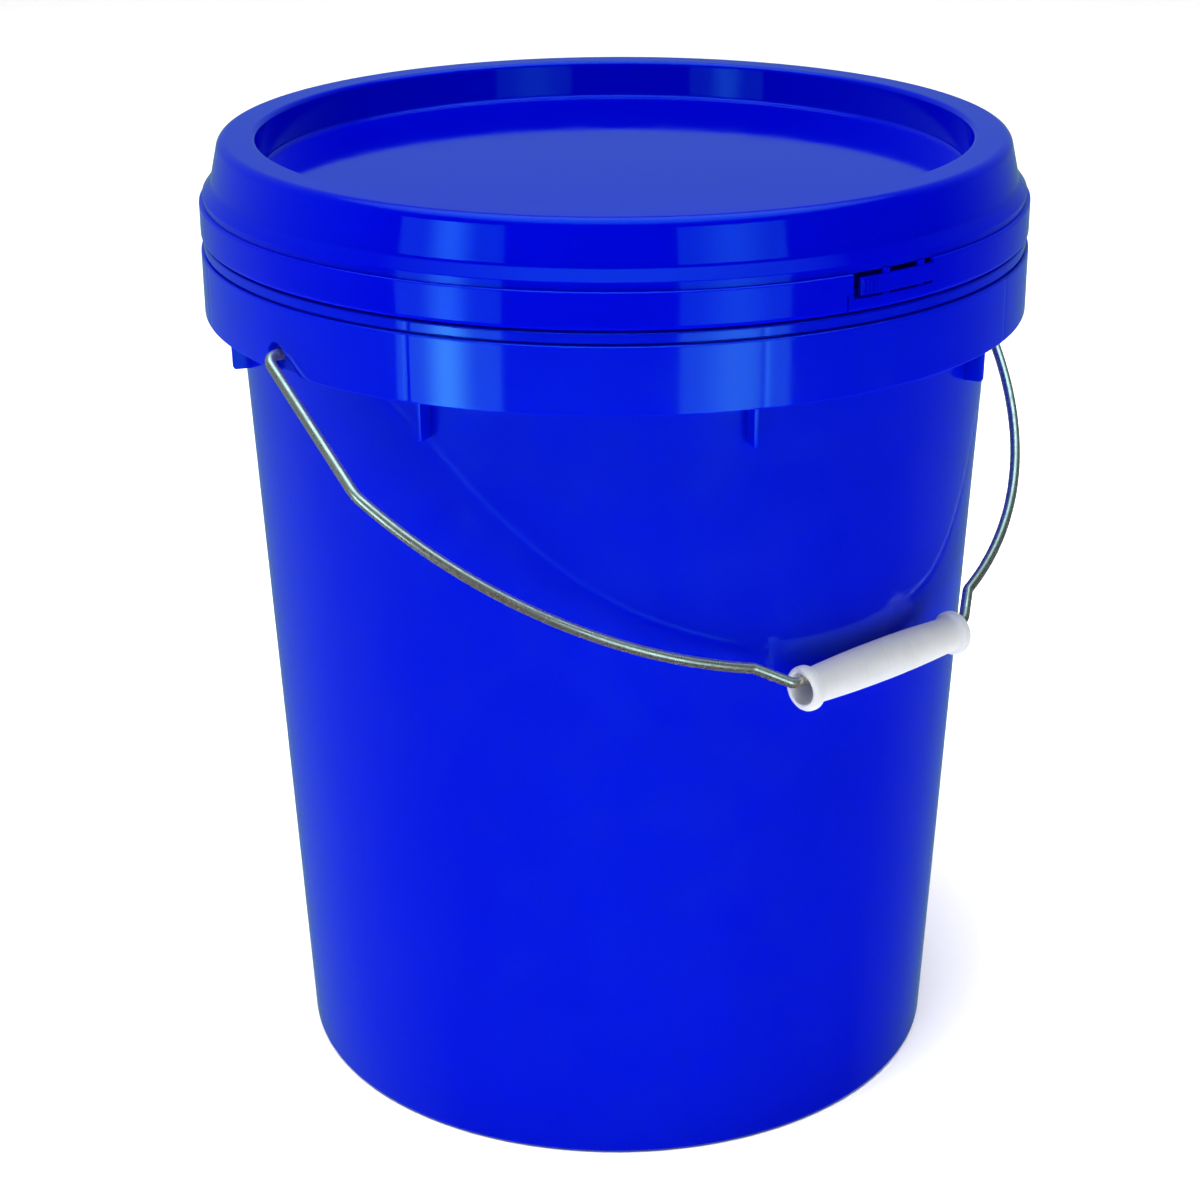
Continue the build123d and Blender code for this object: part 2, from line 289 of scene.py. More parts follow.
def lathe(name, points, angles, shape=None):
    """Turn a closed section about Z. shape moves a point (r, z, angle) to a new (r, z)."""
    bm = bmesh.new()
    rings = []
    for point in points:
        if point.x < 1e-6:
            rings.append([bm.verts.new((0, 0, point.y * MM))])
            continue
        ring = []
        for angle in angles:
            r, z = shape(point.x, point.y, angle) if shape else point
            ring.append(bm.verts.new(about_z(r, z, angle)))
        rings.append(ring)
    skin(bm, rings + rings[:1])
    bmesh.ops.recalc_face_normals(bm, faces=bm.faces)
    return object_from(bm, name)


def sector(name, r_in, r_out, z_low, z_high, start, end, step=0.25):
    """A solid piece of a ring between two angles."""
    count = max(2, ceil((end - start) / step))
    bm = bmesh.new()
    rows = []
    for k in range(count + 1):
        angle = start + (end - start) * k / count
        row = []
        for r, z in ((r_in, z_low), (r_out, z_low), (r_out, z_high), (r_in, z_high)):
            row.append(bm.verts.new(about_z(r, z, angle)))
        rows.append(row)
    capped(bm, rows)
    return object_from(bm, name)


def rod(name, radius, x_ends, z, sides=48):
    """A round solid along X between two places."""
    x_low, x_high = sorted(x_ends)
    bm = bmesh.new()
    bmesh.ops.create_cone(
        bm, segments=sides, radius1=radius * MM, radius2=radius * MM,
        depth=(x_high - x_low) * MM, cap_ends=True,
    )
    bm.transform(Matrix.Rotation(pi / 2, 4, "Y"))
    bm.transform(Matrix.Translation(((x_low + x_high) / 2 * MM, 0, z * MM)))
    return object_from(bm, name)


def tube(name, path, radius, sides=28):
    """A round wire along points in space that lie in one plane."""
    normal = (path[1] - path[0]).cross(path[len(path) // 2] - path[0]).normalized()
    bm = bmesh.new()
    rows = []
    for index, point in enumerate(path):
        before = path[max(index - 1, 0)]
        after = path[min(index + 1, len(path) - 1)]
        along = (after - before).normalized()
        across = normal.cross(along).normalized()
        row = []
        for k in range(sides):
            turn = 2 * pi * k / sides
            place = point + (across * cos(turn) + normal * sin(turn)) * radius * MM
            row.append(bm.verts.new(place))
        rows.append(row)
    capped(bm, rows)
    return object_from(bm, name)


def remove(obj):
    """Delete an object and its mesh."""
    mesh = obj.data
    bpy.data.objects.remove(obj)
    bpy.data.meshes.remove(mesh)


def apply_modifiers(obj):
    """Leave the modified mesh as the object's own mesh."""
    graph = bpy.context.evaluated_depsgraph_get()
    mesh = bpy.data.meshes.new_from_object(obj.evaluated_get(graph))
    old = obj.data
    obj.modifiers.clear()
    obj.data = mesh
    bpy.data.meshes.remove(old)
    obj.data.name = obj.name


def subtract(obj, cutters):
    """Cut solids out of an object, then remove them."""
    for cutter in cutters:
        modifier = obj.modifiers.new("cut", "BOOLEAN")
        modifier.operation = "DIFFERENCE"
        modifier.solver = "EXACT"
        modifier.object = cutter
    bpy.context.view_layer.update()
    apply_modifiers(obj)
    for cutter in cutters:
        remove(cutter)


def join(obj, others):
    """Put other meshes into obj's mesh as they are."""
    bm = bmesh.new()
    bm.from_mesh(obj.data)
    for other in others:
        bm.from_mesh(other.data)
        remove(other)
    bm.to_mesh(obj.data)
    bm.free()


def soften(obj, width=0.0, angle=32.0):
    """Round the cut edges a little, shade smooth, and keep flats flat."""
    if width:
        bevel = obj.modifiers.new("edges", "BEVEL")
        bevel.width = width * MM
        bevel.segments = 2
        bevel.limit_method = "ANGLE"
        bevel.angle_limit = radians(angle)
        apply_modifiers(obj)
    obj.data.shade_smooth()
    obj.data.set_sharp_from_angle(angle=radians(angle))
    weighted = obj.modifiers.new("normals", "WEIGHTED_NORMAL")
    weighted.keep_sharp = True
    weighted.weight = 50
    apply_modifiers(obj)


# ---------------------------------------------------------------- bucket


GUSSET_ANGLES = [(n + 0.5) * 360 / GUSSETS for n in range(GUSSETS)]


def from_gusset(angle):
    """Angle from the closest gusset, in degrees."""
    step = 360 / GUSSETS
    return (angle % step) - step / 2


def clamped(value, high=1.0):
    return min(max(value, 0.0), high)


def slot_depth(y, z):
    """Depth of the ear's channel, and of the dimple round its hole, at a place on the collar."""
    lean = radians(EAR_SLOT_ANGLE)
    along = clamped((PIVOT_Z - z) * sin(lean) - y * cos(lean), EAR_SLOT_LENGTH)
    gap = hypot(y + along * cos(lean), z - PIVOT_Z + along * sin(lean))
    edge = clamped((EAR_SLOT_HALF_WIDTH - gap) / EAR_SLOT_EDGE / 2 + 0.5)
    channel = EAR_SLOT_DEPTH * edge * edge * (3 - 2 * edge)
    mouth = clamped((MOUTH_R - hypot(y, z - PIVOT_Z)) / MOUTH_EDGE)
    return channel + MOUTH_DEPTH * mouth


def bucket_shape(r, z, angle):
    """Sink marks over the gussets, and the channels of the ears."""
    on_collar = r > COLLAR_R - COLLAR_WALL - 0.6 and COLLAR_BOTTOM - 0.1 < z < COLLAR_TOP - 0.5
    outside = r > RING_R - 0.2 and z < RING_TOP + 0.2
    if outside:
        off = radians(from_gusset(angle)) * r / SINK_HALF_WIDTH
        r -= SINK_DEPTH * exp(-off * off)
    if on_collar:
        r -= slot_depth(-r * cos(radians(angle)), z)
    return r, z


def gusset_mesh(angle):
    """One plate under the collar, thinner at its foot and rounded on its edge."""
    skirt_inside = COLLAR_R - COLLAR_WALL + 0.4
    outline = [
        (wall_r(GUSSET_BOTTOM) - 1.0, GUSSET_BOTTOM, 0.85),
        (GUSSET_R - 0.8, GUSSET_BOTTOM, 0.85),
        (GUSSET_R, GUSSET_BOTTOM + 0.9, 0.9),
        (GUSSET_R + 0.3, COLLAR_BOTTOM + 1.0, 1.0),
        (skirt_inside, COLLAR_BOTTOM + 6.0, 1.0),
        (skirt_inside, COLLAR_TOP - 1.0, 1.0),
        (wall_r(COLLAR_TOP) - 1.0, COLLAR_TOP - 1.0, 1.0),
    ]
    bm = bmesh.new()
    sides = []
    for side in (-1, 1):
        row = []
        for r, z, half_thickness in outline:
            row.append(bm.verts.new((side * half_thickness * MM, -r * MM, z * MM)))
        sides.append(row)
    capped(bm, sides)
    bm.transform(Matrix.Rotation(radians(angle), 4, "Z"))
    plate = object_from(bm, "gusset")
    soften(plate, 0.35)
    return plate


def ear_boss(side):
    """The solid block behind the collar that the wire turns in."""
    low, high = BOSS_R, COLLAR_R - EAR_SLOT_DEPTH - 0.3
    bm = bmesh.new()
    bmesh.ops.create_cube(bm, size=1)
    middle = Matrix.Translation(((low + high) / 2 * side * MM, 0, BOSS_MIDDLE * MM))
    size = Matrix.Diagonal(((high - low) * MM, BOSS_WIDTH * MM, BOSS_HEIGHT * MM, 1))
    bm.transform(middle @ size)
    boss = object_from(bm, "boss")
    soften(boss, 0.4)
    subtract(boss, [rod("hole", HOLE_R, (side * (low - 1), side * (high + 1)), PIVOT_Z)])
    soften(boss)
    return boss


def make_bucket():
    flange_under = COLLAR_TOP - COLLAR_WALL
    inner = COLLAR_R - COLLAR_WALL
    corners = [
        (0, FLOOR_UNDER - 0.5, 0),
        (24.0, FLOOR_UNDER - 0.5, 0.6),
        (24.6, FLOOR_UNDER, 0.6),
        (FOOT_R - 1.2, FLOOR_UNDER, 1.2),
        (FOOT_R, 0.0, 0.5),
        (BASE_R, 0.0, 2.0),
        (wall_r(flange_under), flange_under, 1.0),
        (inner, flange_under, 1.0),
        (inner, COLLAR_BOTTOM, 0.35),
        (COLLAR_R, COLLAR_BOTTOM, 0.4),
        (COLLAR_R, COLLAR_TOP, 0.7),
        (RING_GAP_R, COLLAR_TOP, 0.15),
        (RING_GAP_R, RING_BOTTOM, 0.15),
        (RING_R, RING_BOTTOM, 0.3),
        (RING_R, RING_TOP, 0.8),
        (RING_INNER_R, RING_TOP, 0.6),
        (RING_INNER_R, COLLAR_TOP, 0.4),
        (wall_r(COLLAR_TOP), COLLAR_TOP, 1.0),
        (wall_r(LOCK_BOTTOM), LOCK_BOTTOM, 0.8),
        (LOCK_R, LOCK_BOTTOM, 0.4),
        (LOCK_R, LOCK_TOP, 1.0),
        (wall_r(LOCK_TOP), LOCK_TOP, 1.0),
        (NECK_R, BUCKET_RIM, 0.95),
        (NECK_R - WALL, BUCKET_RIM, 0.95),
        (wall_r(LOCK_TOP) - WALL, LOCK_TOP, 20.0),
        (wall_r(FLOOR_TOP) - WALL, FLOOR_TOP, 4.0),
        (0, FLOOR_TOP, 0),
    ]
    points = divided(rounded(corners), 0.45, COLLAR_BOTTOM - 0.1, COLLAR_TOP + 0.1)
    fine = [(angle, 1.5, 0.2) for angle in GUSSET_ANGLES]
    fine += [(side * 87.0, 7.5, 0.16) for side in (1, -1)]
    bucket = lathe("bucket", points, turn_angles(fine), bucket_shape)
    holes = []
    for side in (1, -1):
        holes.append(rod("hole", HOLE_R, (side * (COLLAR_R - 7), side * (COLLAR_R + 2)), PIVOT_Z))
    subtract(bucket, holes)
    soften(bucket)
    extras = [gusset_mesh(angle) for angle in GUSSET_ANGLES]
    extras += [ear_boss(side) for side in (1, -1)]
    join(bucket, extras)
    return bucket


# ---------------------------------------------------------------- lid


def bridges(z_low, z_high, edge):
    """The thin bridges that stand above or below the tab."""
    made = []
    for angle in BRIDGE_ANGLES:
        bridge = sector(
            "bridge", BRIDGE_R, SKIRT_R - 0.2, z_low, z_high,
            angle - BRIDGE_HALF_ANGLE, angle + BRIDGE_HALF_ANGLE,
        )
        soften(bridge, edge)
        made.append(bridge)
    return made


def make_lid():
    corners = [
        (0, DISH_UNDER, 0),
        (137.0, DISH_UNDER, 2.0),
        (137.4, RIM_ROOF, 1.0),
        (147.6, RIM_ROOF, 1.2),
        (151.1, 356.6, 0),
        (SHOULDER_INNER_R, 352.4, 0),
        (SHOULDER_INNER_R, CREASE_Z, 0.2),
        (SHOULDER_R, CREASE_Z, 0.1),
        (SHOULDER_R, 353.6, 0.8),
        (153.1, 357.8, 3.0),
        (149.6, LID_TOP, 4.0),
        (135.4, LID_TOP, 2.0),
        (135.0, DISH_TOP, 1.6),
        (0, DISH_TOP, 0),
    ]
    lid = lathe("lid", rounded(corners, 8.0), turn_angles())
    soften(lid)
    join(lid, bridges(TAB_TOP + BRIDGE_GAP, CREASE_Z + 0.2, 0.15))
    return lid


def make_gasket():
    inner, outer = GASKET_RADII
    corners = [
        (inner, GASKET_BOTTOM, 0.8),
        (outer, GASKET_BOTTOM, 0.8),
        (outer, GASKET_TOP, 0),
        (inner, GASKET_TOP, 0),
    ]
    gasket = lathe("gasket", rounded(corners), turn_angles())
    soften(gasket)
    return gasket


def make_strip():
    corners = [
        (HOOK_R, 338.6, 0.5),
        (154.9, SKIRT_BOTTOM, 0.5),
        (SKIRT_R, SKIRT_BOTTOM, 1.8),
        (SKIRT_R, CREASE_Z, 0.8),
        (SKIRT_INNER_R, CREASE_Z, 0),
        (SKIRT_INNER_R, 342.8, 0.4),
        (HOOK_R, 341.9, 0.5),
    ]
    around_tab = [(-4.0, 8.5, 0.25)]
    strip = lathe("strip", rounded(corners, 12.0), turn_angles(around_tab))
    pocket = sector(
        "pocket", POCKET_FLOOR_R, CUTTER_R, HEM_TOP, CREASE_Z + 1.0, *POCKET_ANGLES,
    )
    slit = sector(
        "slit", SLIT_R, CUTTER_R, SKIRT_BOTTOM - 1.0, SLIT_TOP,
        SLIT_ANGLE - SLIT_HALF_ANGLE, SLIT_ANGLE + SLIT_HALF_ANGLE,
    )
    subtract(strip, [pocket, slit])
    soften(strip, 0.12)
    join(strip, bridges(HEM_TOP - 0.3, TAB_BOTTOM - BRIDGE_GAP, 0.12))
    return strip


def make_tab():
    """The tongue, and the ribs at its free end."""
    root = POCKET_ANGLES[1] + TAB_ROOT_OVERLAP
    tongue = sector(
        "tab", SKIRT_INNER_R, SKIRT_R - 0.01, TAB_BOTTOM, TAB_TOP, TAB_START, root,
    )
    soften(tongue, 0.3)
    ribs = []
    for number in range(RIBS):
        angle = RIB_START + number * RIB_STEP
        rib = sector(
            "rib", SKIRT_R - 0.3, SKIRT_R + 0.45, TAB_BOTTOM + 0.7, TAB_TOP - 0.7,
            angle - RIB_HALF_ANGLE, angle + RIB_HALF_ANGLE, 0.1,
        )
        soften(rib, 0.15)
        ribs.append(rib)
    join(tongue, ribs)
    return tongue


# ---------------------------------------------------------------- bail and grip


def arc_reach(radius, across):
    """Reach of a circle about the arc's centre, at a place across."""
    return ARC_REACH + sqrt(radius ** 2 - (across - ARC_X) ** 2)


def on_circle(centre_x, centre_reach, radius, turn):
    return Vector((centre_x + radius * cos(turn), centre_reach + radius * sin(turn)))


def bail_path():
    """The wire's centre line on the +X side, as (across, reach) points."""
    bend_x = LEG_X - BEND_R
    bend_reach = arc_reach(ARC_R - BEND_R, bend_x)
    bend_turn = asin((bend_reach - ARC_REACH) / (ARC_R - BEND_R))
    points = [Vector((HEAD_OUTER_X, 0.0))]
    points += corner_arc((HEAD_OUTER_X, 0), (LEG_X, 0), (LEG_X, bend_reach), ELBOW_R, 8.0)
    for k in range(1, 13):
        points.append(Vector((LEG_X, ELBOW_R + (bend_reach - ELBOW_R) * k / 12)))
    for k in range(1, 9):
        points.append(on_circle(bend_x, bend_reach, BEND_R, bend_turn * k / 8))
    end_turn = atan2(arc_reach(ARC_R, ARC_END_X) - ARC_REACH, ARC_END_X - ARC_X)
    for k in range(1, 61):
        turn = bend_turn + (end_turn - bend_turn) * k / 60
        points.append(on_circle(ARC_X, ARC_REACH, ARC_R, turn))
    side_end = points[-1]
    slope = (ARC_END_X - ARC_X) / (side_end.y - ARC_REACH)
    jog_outer = Vector((JOG_OUTER_X, side_end.y + slope * (ARC_END_X - JOG_OUTER_X)))
    grip_reach = -GRIP_CENTRE.y / MM / cos(radians(BAIL_DROP))
    jog_inner = Vector((JOG_INNER_X, grip_reach))
    points += corner_arc(side_end, jog_outer, jog_inner, JOG_BEND_R, 8.0)
    points += corner_arc(jog_outer, jog_inner, (0, grip_reach), JOG_BEND_R, 8.0)
    for k in range(1, 9):
        points.append(Vector((BAR_START_X * (1 - k / 8), grip_reach)))
    return points


def make_bail():
    drop = radians(BAIL_DROP)
    right = []
    for point in bail_path():
        right.append(
            Vector((point.x, -point.y * cos(drop), PIVOT_Z - point.y * sin(drop))) * MM
        )
    left = [Vector((-p.x, p.y, p.z)) for p in right[-2::-1]]
    bail = tube("bail", right + left, WIRE_R)
    heads = []
    for side in (1, -1):
        head = rod("head", HEAD_R, (side * HEAD_INNER_X, side * HEAD_OUTER_X), PIVOT_Z)
        soften(head, 0.5)
        heads.append(head)
    soften(bail)
    join(bail, heads)
    return bail


def barrel_line(neck, steps=140):
    """The barrel's outer line between its beads, with the parting rings pressed into it."""
    rise = (GRIP_MIDDLE_R - GRIP_NECK_R) / neck ** 2
    line = []
    for k in range(1, steps):
        x = -neck + 2 * neck * k / steps
        if abs(x) > neck - 1.0:
            continue
        r = GRIP_MIDDLE_R - rise * x * x
        for ring in PARTING_RINGS:
            off = (x - ring) / PARTING_HALF_WIDTH
            r -= PARTING_DEPTH * exp(-off * off)
        line.append(Vector((x, r)))
    return line


def make_grip():
    """A hollow barrel with a bead at each end and faint parting rings."""
    neck = GRIP_HALF - GRIP_BEAD_W
    corners = [
        (neck, GRIP_NECK_R, 0.7),
        (neck + 1.0, GRIP_BEAD_R - 0.1, 1.4),
        (GRIP_HALF, GRIP_BEAD_R, 1.9),
        (GRIP_HALF, GRIP_BORE_R, 0.5),
        (-GRIP_HALF, GRIP_BORE_R, 0.5),
        (-GRIP_HALF, GRIP_BEAD_R, 1.9),
        (-neck - 1.0, GRIP_BEAD_R - 0.1, 1.4),
        (-neck, GRIP_NECK_R, 0.7),
    ]
    sides = 96
    bm = bmesh.new()
    rows = []
    for point in rounded(corners) + barrel_line(neck):
        row = []
        for k in range(sides):
            turn = 2 * pi * k / sides
            place = (point.x * MM, point.y * cos(turn) * MM, point.y * sin(turn) * MM)
            row.append(bm.verts.new(place))
        rows.append(row)
    skin(bm, rows + rows[:1])
    bmesh.ops.recalc_face_normals(bm, faces=bm.faces)
    bm.transform(Matrix.Translation(GRIP_CENTRE))
    grip = object_from(bm, "grip")
    soften(grip, angle=40)
    return grip


# ---------------------------------------------------------------- materials


def material(name):
    """A new material with its node tree and its shader."""
    made = bpy.data.materials.new(name)
    made.use_nodes = True
    return made, made.node_tree, made.node_tree.nodes["Principled BSDF"]


def noise(tree, coords, scale, detail=2.0, roughness=0.5):
    node = tree.nodes.new("ShaderNodeTexNoise")
    node.inputs["Scale"].default_value = scale
    node.inputs["Detail"].default_value = detail
    node.inputs["Roughness"].default_value = roughness
    tree.links.new(coords, node.inputs["Vector"])
    return node.outputs["Fac"]


def spread(tree, value, low, high, from_low=0.3, from_high=0.7, kind="LINEAR"):
    """Map part of a value's range onto another range."""
    node = tree.nodes.new("ShaderNodeMapRange")
    node.interpolation_type = kind
    node.inputs["From Min"].default_value = from_low
    node.inputs["From Max"].default_value = from_high
    node.inputs["To Min"].default_value = low
    node.inputs["To Max"].default_value = high
    tree.links.new(value, node.inputs["Value"])
    return node.outputs["Result"]


def maths(tree, operation, *values):
    """A maths node. Each value is a socket or a number."""
    node = tree.nodes.new("ShaderNodeMath")
    node.operation = operation
    for socket, value in zip(node.inputs, values):
        if isinstance(value, float):
            socket.default_value = value
        else:
            tree.links.new(value, socket)
    return node.outputs["Value"]


def axis_of(tree, vector, axis):
    """One axis of a vector socket."""
    node = tree.nodes.new("ShaderNodeSeparateXYZ")
    tree.links.new(vector, node.inputs["Vector"])
    return node.outputs[axis]


def stretched(tree, scale=(1, 1, 1)):
    """Object coordinates, scaled differently along each axis."""
    coords = tree.nodes.new("ShaderNodeTexCoord")
    mapping = tree.nodes.new("ShaderNodeMapping")
    mapping.inputs["Scale"].default_value = scale
    tree.links.new(coords.outputs["Object"], mapping.inputs["Vector"])
    return mapping.outputs["Vector"]


def mix_colour(tree, factor, first, second):
    """Mix two colours by a socket. Each colour is a socket or a tuple."""
    node = tree.nodes.new("ShaderNodeMix")
    node.data_type = "RGBA"
    tree.links.new(factor, node.inputs[0])
    for socket, colour in ((node.inputs[6], first), (node.inputs[7], second)):
        if isinstance(colour, tuple):
            socket.default_value = colour
        else:
            tree.links.new(colour, socket)
    return node.outputs[2]


def bumped(tree, layers):
    """Stack height layers; each is (value, distance in metres)."""
    normal = None
    for value, distance in layers:
        node = tree.nodes.new("ShaderNodeBump")
        node.inputs["Distance"].default_value = distance
        node.inputs["Strength"].default_value = 1.0
        tree.links.new(value, node.inputs["Height"])
        if normal is not None:
            tree.links.new(normal, node.inputs["Normal"])
        normal = node.outputs["Normal"]
    return normal


def let_light_in(shader, radius):
    """Let light pass a few millimetres through a plastic; radius is the share by colour."""
    shader.inputs["Subsurface Weight"].default_value = 0.35
    shader.inputs["Subsurface Radius"].default_value = radius
    shader.inputs["Subsurface Scale"].default_value = 0.003


def below_collar(tree, rough, satin):
    """Make the tapered wall under the collar more satin than the collar itself."""
    coords = tree.nodes.new("ShaderNodeTexCoord")
    height = axis_of(tree, coords.outputs["Object"], "Z")
    low, high = (COLLAR_BOTTOM - 3.0) * MM, (COLLAR_BOTTOM - 1.0) * MM
    return maths(tree, "ADD", rough, spread(tree, height, satin, 0.0, low, high))


def plastic(name, dark, light, tint, rough_range, grain, satin=0.0):
    """Moulded blue plastic: pigment flow, satin patches, a slow warp and fine grain."""
    made, tree, shader = material(name)
    flow = noise(tree, stretched(tree, (9, 9, 2.5)), 1.0, 4.0, 0.55)
    colour = mix_colour(tree, spread(tree, flow, 0.0, 1.0), dark, light)
    tree.links.new(colour, shader.inputs["Base Color"])
    patches = noise(tree, stretched(tree), 55.0, 5.0, 0.6)
    rough = spread(tree, patches, *rough_range)
    if satin:
        rough = below_collar(tree, rough, satin)
    tree.links.new(rough, shader.inputs["Roughness"])
    warp = noise(tree, stretched(tree, (1, 1, 0.45)), 26.0, 2.0, 0.4)
    fine = noise(tree, stretched(tree), 1500.0)
    normal = bumped(tree, [(warp, WARP_HEIGHT), (fine, grain)])
    tree.links.new(normal, shader.inputs["Normal"])
    let_light_in(shader, BLUE_PASSES)
    shader.inputs["IOR"].default_value = 1.49
    shader.inputs["Specular Tint"].default_value = tint
    return made


def milky(name):
    """Natural polyethylene: white, slightly see-through, satin."""
    made, tree, shader = material(name)
    cloud = noise(tree, stretched(tree), 120.0, 4.0, 0.6)
    colour = mix_colour(tree, spread(tree, cloud, 0.0, 1.0), MILKY_DARK, MILKY_LIGHT)
    tree.links.new(colour, shader.inputs["Base Color"])
    rough = spread(tree, cloud, 0.34, 0.46)
    tree.links.new(rough, shader.inputs["Roughness"])
    drag = noise(tree, stretched(tree, (0.08, 1, 1)), 900.0, 3.0)
    fine = noise(tree, stretched(tree), 2600.0)
    normal = bumped(tree, [(drag, 0.00002), (fine, 0.00001)])
    tree.links.new(normal, shader.inputs["Normal"])
    let_light_in(shader, WHITE_PASSES)
    shader.inputs["IOR"].default_value = 1.51
    return made


def zinc_wire(name):
    """Drawn wire with a zinc coat, dull spots and dark specks."""
    made, tree, shader = material(name)
    spots = noise(tree, stretched(tree), 260.0, 6.0, 0.65)
    dullness = spread(tree, spots, 0.0, 1.0, 0.42, 0.66)
    coat = mix_colour(tree, dullness, ZINC_LIGHT, ZINC_DARK)
    specks = noise(tree, stretched(tree), 900.0)
    speckled = mix_colour(tree, spread(tree, specks, 0.0, 0.6, 0.72, 0.78), coat, ZINC_SPECK)
    tree.links.new(speckled, shader.inputs["Base Color"])
    rough = spread(tree, spots, 0.20, 0.38)
    tree.links.new(rough, shader.inputs["Roughness"])
    shader.inputs["Metallic"].default_value = 0.85
    normal = bumped(tree, [(spots, 0.00001), (specks, 0.000005)])
    tree.links.new(normal, shader.inputs["Normal"])
    return made


def foam(name):
    """Soft foamed seal, off-white and matt."""
    made, tree, shader = material(name)
    cells = tree.nodes.new("ShaderNodeTexVoronoi")
    cells.inputs["Scale"].default_value = 1400.0
    tree.links.new(stretched(tree), cells.inputs["Vector"])
    cell = cells.outputs["Distance"]
    colour = mix_colour(tree, spread(tree, cell, 0.0, 1.0, 0.0, 0.6), FOAM_DARK, FOAM_LIGHT)
    tree.links.new(colour, shader.inputs["Base Color"])
    tree.links.new(bumped(tree, [(cell, 0.0001)]), shader.inputs["Normal"])
    shader.inputs["Roughness"].default_value = 0.8
    return made


BLUE_DARK = (0.0, 0.003, 0.63, 1)
BLUE_LIGHT = (0.0, 0.005, 0.68, 1)
BLUE_GLOSS = (0.28, 0.95, 1.0, 1)
LID_DARK = (0.0, 0.001, 0.60, 1)
LID_LIGHT = (0.0, 0.002, 0.65, 1)
LID_GLOSS = (0.08, 0.38, 0.9, 1)
MILKY_DARK = (0.68, 0.70, 0.73, 1)
MILKY_LIGHT = (0.74, 0.755, 0.78, 1)
ZINC_LIGHT = (0.60, 0.54, 0.47, 1)
ZINC_DARK = (0.45, 0.41, 0.36, 1)
ZINC_SPECK = (0.16, 0.14, 0.10, 1)
FOAM_DARK = (0.62, 0.62, 0.58, 1)
FOAM_LIGHT = (0.78, 0.78, 0.75, 1)
BLUE_PASSES = (0.05, 0.2, 1.0)
WHITE_PASSES = (1.0, 1.0, 1.0)
WARP_HEIGHT = 0.00003

bucket_paint = plastic(
    "bucket_blue", BLUE_DARK, BLUE_LIGHT, BLUE_GLOSS, (0.07, 0.12), 0.000002, satin=0.02,
)
lid_paint = plastic("lid_blue", LID_DARK, LID_LIGHT, LID_GLOSS, (0.05, 0.09), 0.000003)

BODIES = frame["record"]["behaviour"]["bodies"]
PIECES = [
    (make_bucket, BODIES["pail"], "pail", "bucket_plastic", bucket_paint),
    (make_lid, ["lid_panel", "lid_rim"], "lid", "lid_plastic", lid_paint),
    (make_gasket, ["lid_gasket"], "lid", "seal_rubber", foam("seal_foam")),
    (make_strip, ["tear_strip"], "lid", "lid_plastic", lid_paint),
    (make_tab, ["pull_tab"], "tab", "lid_plastic", lid_paint),
    (make_bail, BODIES["bail"], "bail", "bail_wire", zinc_wire("bail_zinc")),
    (make_grip, ["roll_grip"], "grip", "grip_plastic", milky("grip_milky")),
]
for make, nodes, body, slot, paint in PIECES:
    piece = make()
    piece.data.materials.clear()
    piece.data.materials.append(paint)
    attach(piece, body)
    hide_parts(*nodes)

# ---------------------------------------------------------------- floor, light, camera


FLOOR_HALF = 12.0
FLOOR_DROP = 0.0002
CAMERA_ANGLE = -41.0
CAMERA_DISTANCE = 0.97465
CAMERA_HEIGHT = 0.572
CAMERA_PITCH = 21.965
CAMERA_ROLL = -0.205
CAMERA_LENS = 77.19
CAMERA_SHIFT_X = -0.0134
SOFTBOX_HEIGHT = 0.27
SOFTBOX_WIDTH = 0.46
SOFTBOX_TALL = 0.54
FILL_DISTANCE = 0.95
SHINE_DISTANCE = 0.93
WHITE = (1.0, 1.0, 1.0, 1.0)
GLOSS_TINT = (0.5, 0.92, 1.0, 1.0)


def make_floor():
    """A wide pale floor, a hair below the object, that doesn't show in its gloss."""
    bm = bmesh.new()
    bmesh.ops.create_grid(bm, x_segments=8, y_segments=8, size=FLOOR_HALF)
    floor = object_from(bm, "floor")
    floor.location.z = -FLOOR_DROP
    made, tree, shader = material("floor_pale")
    tone = noise(tree, stretched(tree), 3.0)
    colour = mix_colour(tree, tone, (0.89, 0.89, 0.89, 1), (0.91, 0.91, 0.91, 1))
    tree.links.new(colour, shader.inputs["Base Color"])
    shader.inputs["Roughness"].default_value = 0.9
    shader.inputs["Specular IOR Level"].default_value = 0.0
    floor.data.materials.append(made)
    floor.visible_glossy = False
    return floor


def around(angle, distance, height):
    """A place by its angle from the camera's side of the object."""
    turn = radians(CAMERA_ANGLE + angle)
    return Vector((distance * sin(turn), -distance * cos(turn), height))


def soft_glow(light, hot, hot_width):
    """A softbox's face: even, with its lamp showing as a brighter band down the middle."""
    light.use_nodes = True
    tree = light.node_tree
    emission = tree.nodes["Emission"]
    emission.inputs["Color"].default_value = GLOSS_TINT
    face = tree.nodes.new("ShaderNodeNewGeometry")
    across = axis_of(tree, face.outputs["Parametric"], "X")
    off_middle = maths(tree, "ABSOLUTE", maths(tree, "SUBTRACT", across, 0.5))
    glow = spread(tree, off_middle, hot, 1.0, 0.0, hot_width, kind="SMOOTHSTEP")
    tree.links.new(glow, emission.inputs["Strength"])


def lamp_object(name, light, place, aim):
    """Stand a light at a place, turned to another and unseen by the camera."""
    lamp = bpy.data.objects.new(name, light)
    bpy.context.scene.collection.objects.link(lamp)
    lamp.location = place
    lamp.rotation_euler = (aim - place).to_track_quat("-Z", "Y").to_euler()
    lamp.visible_camera = False
    return lamp


